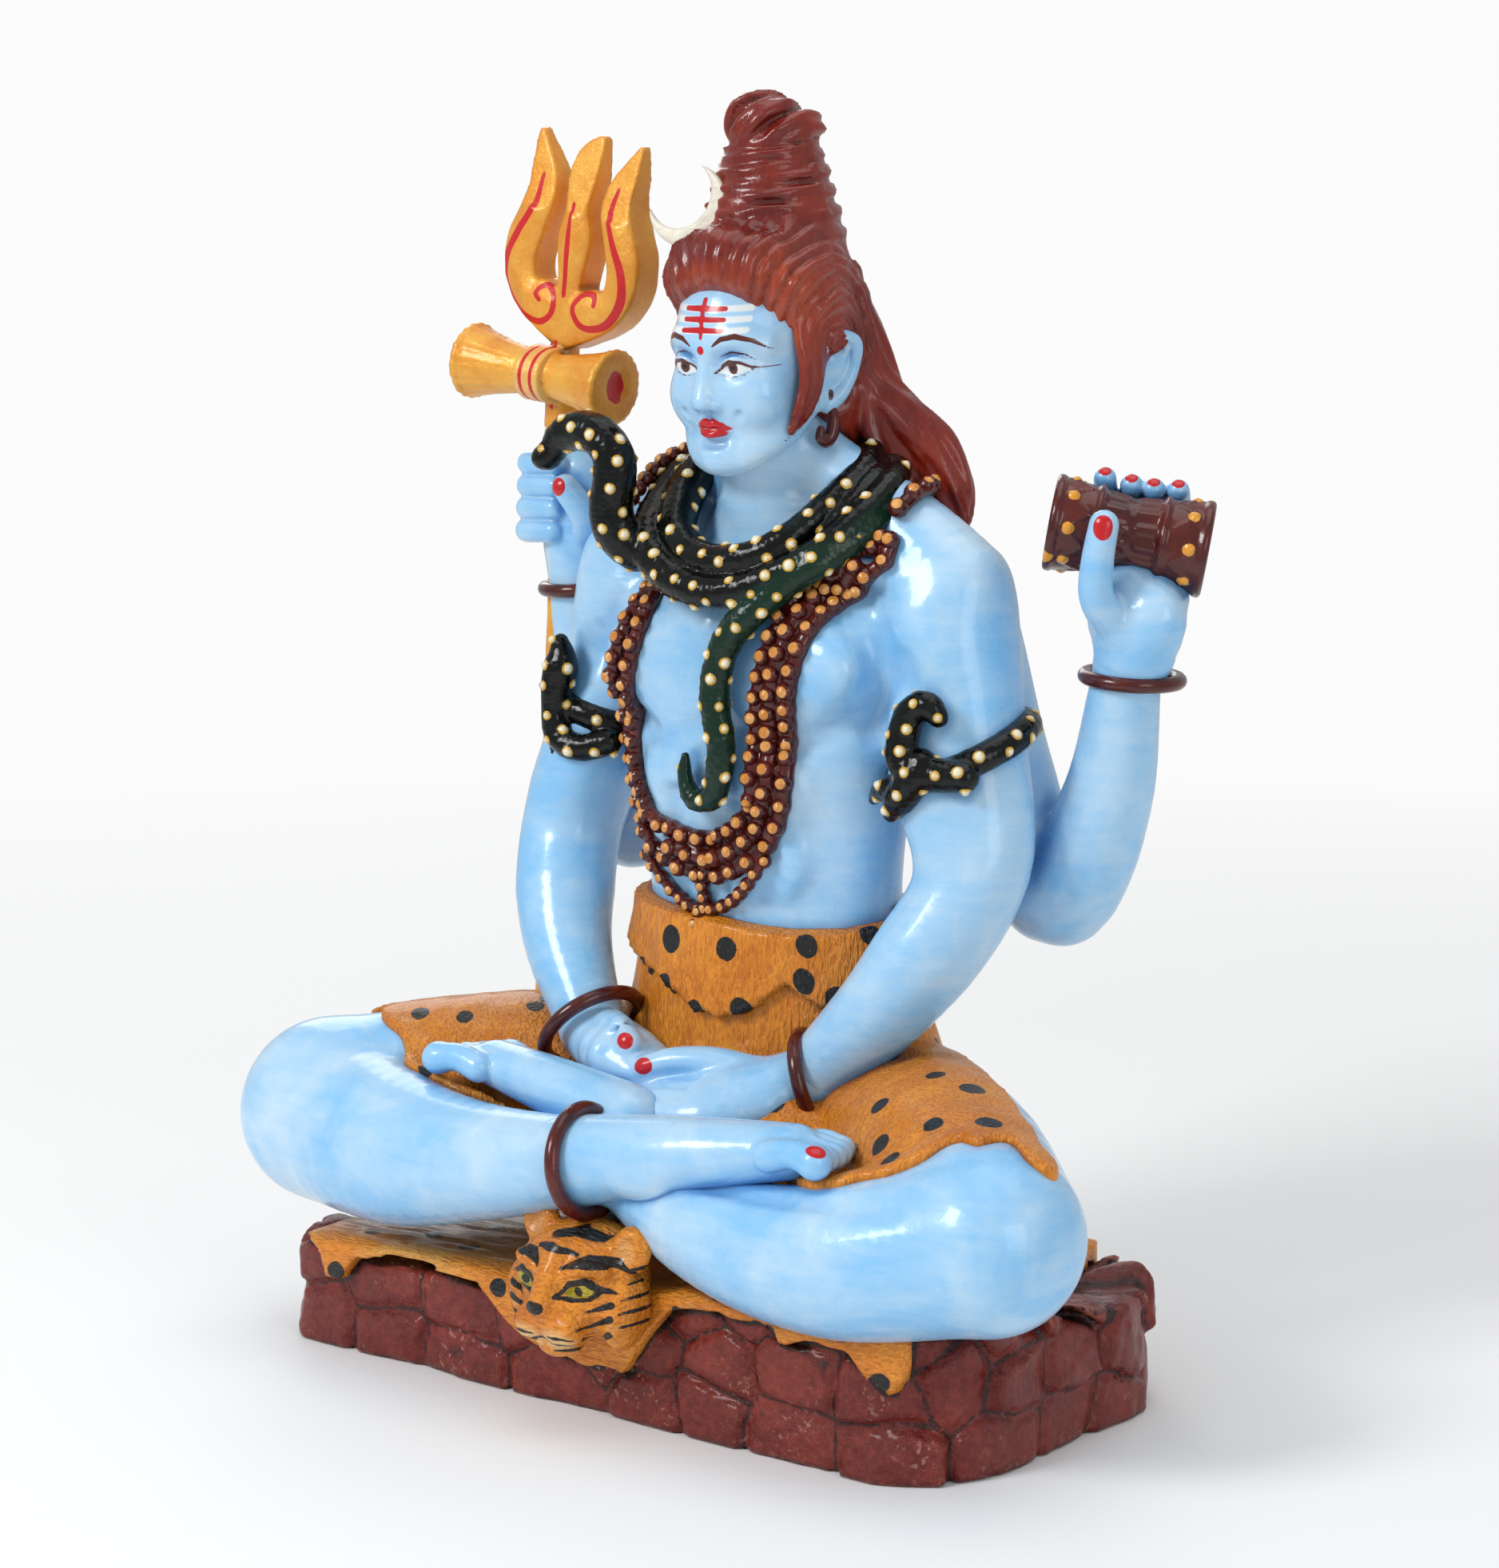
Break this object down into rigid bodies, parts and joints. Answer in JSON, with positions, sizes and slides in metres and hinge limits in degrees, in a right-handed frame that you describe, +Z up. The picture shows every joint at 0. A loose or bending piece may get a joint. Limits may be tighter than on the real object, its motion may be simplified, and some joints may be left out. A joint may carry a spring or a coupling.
{
  "type": "seated shiva figure",
  "caption": "Painted cast resin figure of four-armed Shiva in lotus seat on a rock base with tiger skin, with a separate trident and crescent.",
  "frame": {"origin": "middle of the flat underside of the rock base", "axes": "+Z up, the figure faces -Y, its left hand is towards +X"},
  "size_m": [0.1859, 0.0978, 0.2386],
  "materials": {
    "blue_skin_paint": "varnished light blue paint, cloudy, over cast resin",
    "hair_brown_paint": "varnished red-brown paint over cast resin",
    "snake_green_paint": "varnished green-black paint with raised cream dots",
    "bead_brown_paint": "varnished dark brown beads with gold tips",
    "fur_orange_paint": "engraved fur, orange-brown paint with black spots",
    "rock_brown_paint": "varnished dark red-brown paint, worn on the edges",
    "gold_paint": "gold paint with orange shading and red lines",
    "cream_resin": "cream paint, thin"
  },
  "bodies": {
    "root": {"figure": "blue_skin_paint", "trident": "gold_paint", "crescent_moon": "cream_resin"}
  },
  "joints": []
}
